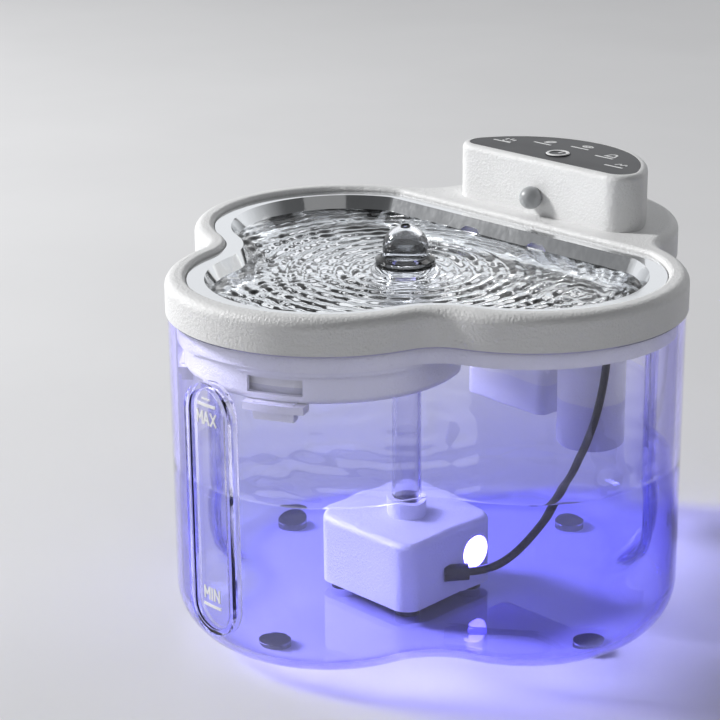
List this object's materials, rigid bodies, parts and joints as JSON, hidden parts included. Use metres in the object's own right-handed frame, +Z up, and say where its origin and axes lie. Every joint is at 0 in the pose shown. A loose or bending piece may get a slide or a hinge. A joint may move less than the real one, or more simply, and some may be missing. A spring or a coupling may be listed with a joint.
{
  "type": "pet water fountain",
  "caption": "Clover-shaped pet water fountain: clear tank, white rim cover with a sensor head, steel tray with a bubbling spout, filter basket and pump on a cable.",
  "frame": {"origin": "on the floor at the middle of the clover-shaped plan", "axes": "+Z up, +Y from the front lobe with the level window towards the head, +X to the right seen from the front lobe"},
  "size_m": [0.2, 0.21, 0.1531],
  "materials": {
    "clear_violet": "clear, smooth",
    "clear_plastic": "clear, smooth",
    "white_textured": "fine spark texture",
    "panel_grey": "gloss",
    "button_grey": "gloss with a pale ring",
    "lens_grey": "satin",
    "steel": "fine brushed",
    "black_rubber": "matt",
    "cable_black": "satin",
    "seal_silicone": "satin",
    "white_print": "printed",
    "board_green": "lacquered",
    "black_plastic": "moulded",
    "white_plastic": "smooth",
    "metal_parts": "bright",
    "lamp_violet": "smooth",
    "filter_foam_dark": "open foam",
    "filter_cloth": "felt",
    "filter_lid_white": "moulded"
  },
  "bodies": {
    "tank": {"tank": "clear_violet", "level_marks": "white_print", "foot_front": "black_rubber", "foot_right": "black_rubber", "foot_back": "black_rubber", "foot_left": "black_rubber"},
    "cover": {"cover_seal": "seal_silicone", "rim_cover": "white_textured", "head_shell": "white_textured", "control_panel": "panel_grey", "circuit_board": "board_green", "button_switch": "black_plastic", "light_guides": "white_plastic", "board_screws": "metal_parts", "sensor_lens": "lens_grey", "sensor_element": "metal_parts", "sensor_board": "board_green", "charging_board": "board_green", "charging_port": "metal_parts", "charging_board_rest": "black_plastic", "lower_housing": "white_textured", "deck_seal": "seal_silicone", "housing_screws": "metal_parts", "cell_left": "metal_parts", "cell_right": "metal_parts", "driver_board": "board_green", "cable_gland": "black_rubber", "pump_cable": "cable_black", "cable_boot": "black_rubber", "riser_pipe": "clear_plastic", "pump_housing": "white_textured", "pump_base": "white_textured", "pump_foot_front_left": "black_rubber", "pump_foot_front_right": "black_rubber", "pump_foot_back_left": "black_rubber", "pump_foot_back_right": "black_rubber", "motor": "black_plastic", "impeller_shaft": "metal_parts", "pump_grille": "white_textured", "lamp_window": "clear_plastic", "lamp_board": "board_green", "lamp_diode": "lamp_violet"},
    "tray": {"tray": "steel", "spout_base": "clear_plastic", "spout_dome": "clear_plastic", "spout_seal": "black_rubber", "spout_nut": "white_plastic"},
    "basket": {"filter_basket": "white_textured", "filter_foam": "filter_foam_dark", "filter_cartridge": "filter_cloth", "filter_lid": "filter_lid_white"},
    "power_button": {"power_button": "button_grey"},
    "impeller": {"impeller": "white_plastic"}
  },
  "joints": [
    {"name": "cover_lift", "type": "slide", "parent": "tank", "child": "cover", "axis": [0, 0, 1], "range_m": [0, 0.13]},
    {"name": "tray_lift", "type": "slide", "parent": "cover", "child": "tray", "axis": [0, 0, 1], "range_m": [0, 0.05]},
    {"name": "basket_release", "type": "slide", "parent": "cover", "child": "basket", "axis": [0, 0, -1], "range_m": [0, 0.03]},
    {"name": "button_press", "type": "slide", "parent": "cover", "child": "power_button", "axis": [0, 0, -1], "range_m": [0, 0.0006], "stiffness_N_per_m": 1500},
    {"name": "impeller_spin", "type": "hinge", "parent": "cover", "child": "impeller", "pos_m": [0, -0.013, 0.024], "axis": [0, 0, 1], "continuous": true}
  ]
}
